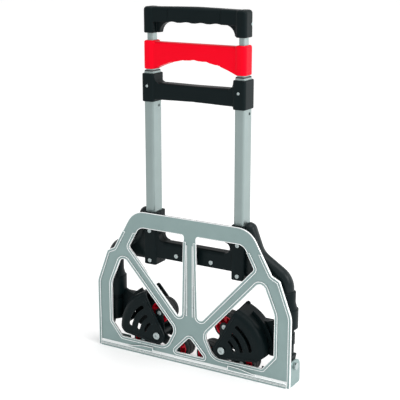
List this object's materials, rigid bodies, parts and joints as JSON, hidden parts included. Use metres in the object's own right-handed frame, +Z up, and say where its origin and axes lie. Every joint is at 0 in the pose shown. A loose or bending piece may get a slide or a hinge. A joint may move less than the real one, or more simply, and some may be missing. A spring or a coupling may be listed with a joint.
{
  "type": "hand truck",
  "caption": "Folding hand truck with telescopic handle, hinged toe plate and three-wheel stair clusters that swing in behind the plate.",
  "frame": {"origin": "middle of the folded truck's footprint, on the surface it stands on", "axes": "+X to the truck's right, -Y towards the toe plate's load side, +Z up along the telescopic legs"},
  "size_m": [0.455, 0.066, 0.7084],
  "materials": {
    "tube_aluminium": "satin",
    "plate_aluminium": "satin",
    "black_plastic": "matte",
    "grip_black": "matte",
    "arm_black": "satin",
    "steel_black": "satin",
    "red_plastic": "gloss",
    "hub_red": "satin",
    "tyre_rubber": "matte",
    "guide_nylon": "matte",
    "zinc_steel": "zinc plated"
  },
  "bodies": {
    "frame": {"carry_crossbar_back": "black_plastic", "carry_crossbar_front": "black_plastic", "carry_crossbar_screws": "zinc_steel", "outer_guides": "guide_nylon", "outer_tube_left": "tube_aluminium", "outer_tube_right": "tube_aluminium", "pivot_bolts": "zinc_steel", "post_collars_left": "black_plastic", "post_collars_right": "black_plastic", "post_foot_left": "black_plastic", "post_foot_right": "black_plastic", "side_arm_left": "arm_black", "side_arm_right": "arm_black", "upper_crossbar": "black_plastic", "upper_crossbar_screws": "zinc_steel"},
    "middle_stage": {"middle_guides": "guide_nylon", "middle_lock_pins": "zinc_steel", "middle_tube_left": "tube_aluminium", "middle_tube_right": "tube_aluminium", "red_handle": "red_plastic", "red_handle_screws": "zinc_steel"},
    "inner_stage": {"inner_guides": "guide_nylon", "inner_lock_pins": "zinc_steel", "inner_tube_left": "tube_aluminium", "inner_tube_right": "tube_aluminium", "top_grip": "grip_black", "top_handle": "black_plastic", "top_handle_screws": "zinc_steel"},
    "toe_plate": {"bracket_rivets": "zinc_steel", "hinge_bracket_left": "plate_aluminium", "hinge_bracket_right": "plate_aluminium", "hinge_bushes": "guide_nylon", "toe_plate": "plate_aluminium"},
    "wheel_bracket_left": {"housing_back_left": "steel_black", "housing_screws_left": "zinc_steel", "main_axle_left": "zinc_steel", "wheel_housing_left": "black_plastic"},
    "cluster_left": {"spider_back_left": "steel_black", "spider_front_left": "steel_black", "wheel_axles_left": "zinc_steel"},
    "wheel_left_1": {"hub_left_1": "hub_red", "tyre_left_1": "tyre_rubber"},
    "wheel_left_2": {"hub_left_2": "hub_red", "tyre_left_2": "tyre_rubber"},
    "wheel_left_3": {"hub_left_3": "hub_red", "tyre_left_3": "tyre_rubber"},
    "wheel_bracket_right": {"housing_back_right": "steel_black", "housing_screws_right": "zinc_steel", "main_axle_right": "zinc_steel", "wheel_housing_right": "black_plastic"},
    "cluster_right": {"spider_back_right": "steel_black", "spider_front_right": "steel_black", "wheel_axles_right": "zinc_steel"},
    "wheel_right_1": {"hub_right_1": "hub_red", "tyre_right_1": "tyre_rubber"},
    "wheel_right_2": {"hub_right_2": "hub_red", "tyre_right_2": "tyre_rubber"},
    "wheel_right_3": {"hub_right_3": "hub_red", "tyre_right_3": "tyre_rubber"}
  },
  "joints": [
    {"name": "middle_stage_slide", "type": "slide", "parent": "frame", "child": "middle_stage", "axis": [0, 0, 1], "range_m": [0, 0.17]},
    {"name": "inner_stage_slide", "type": "slide", "parent": "middle_stage", "child": "inner_stage", "axis": [0, 0, 1], "range_m": [0, 0.17]},
    {"name": "toe_plate_hinge", "type": "hinge", "parent": "frame", "child": "toe_plate", "pos_m": [0, -0.005, 0.04], "axis": [1, 0, 0], "range_deg": [0, 94]},
    {"name": "bracket_left_swivel", "type": "hinge", "parent": "frame", "child": "wheel_bracket_left", "pos_m": [-0.198, 0.0045, 0.1], "axis": [0, 0, 1], "range_deg": [0, 90]},
    {"name": "cluster_left_spin", "type": "hinge", "parent": "wheel_bracket_left", "child": "cluster_left", "pos_m": [-0.0753, 0, 0.0486], "axis": [0, 1, 0], "continuous": true},
    {"name": "wheel_left_1_spin", "type": "hinge", "parent": "cluster_left", "child": "wheel_left_1", "pos_m": [-0.0753, 0, 0.0946], "axis": [0, 1, 0], "continuous": true},
    {"name": "wheel_left_2_spin", "type": "hinge", "parent": "cluster_left", "child": "wheel_left_2", "pos_m": [-0.03546, 0, 0.0256], "axis": [0, 1, 0], "continuous": true},
    {"name": "wheel_left_3_spin", "type": "hinge", "parent": "cluster_left", "child": "wheel_left_3", "pos_m": [-0.11514, 0, 0.0256], "axis": [0, 1, 0], "continuous": true},
    {"name": "bracket_right_swivel", "type": "hinge", "parent": "frame", "child": "wheel_bracket_right", "pos_m": [0.198, 0.0045, 0.1], "axis": [0, 0, 1], "range_deg": [-90, 0]},
    {"name": "cluster_right_spin", "type": "hinge", "parent": "wheel_bracket_right", "child": "cluster_right", "pos_m": [0.0753, 0, 0.0486], "axis": [0, 1, 0], "continuous": true},
    {"name": "wheel_right_1_spin", "type": "hinge", "parent": "cluster_right", "child": "wheel_right_1", "pos_m": [0.0753, 0, 0.0946], "axis": [0, 1, 0], "continuous": true},
    {"name": "wheel_right_2_spin", "type": "hinge", "parent": "cluster_right", "child": "wheel_right_2", "pos_m": [0.03546, 0, 0.0256], "axis": [0, 1, 0], "continuous": true},
    {"name": "wheel_right_3_spin", "type": "hinge", "parent": "cluster_right", "child": "wheel_right_3", "pos_m": [0.11514, 0, 0.0256], "axis": [0, 1, 0], "continuous": true}
  ],
  "couplings": [
    {"joint": "bracket_left_swivel", "follows": "toe_plate_hinge", "ratio": 0.9574},
    {"joint": "bracket_right_swivel", "follows": "toe_plate_hinge", "ratio": -0.9574}
  ]
}
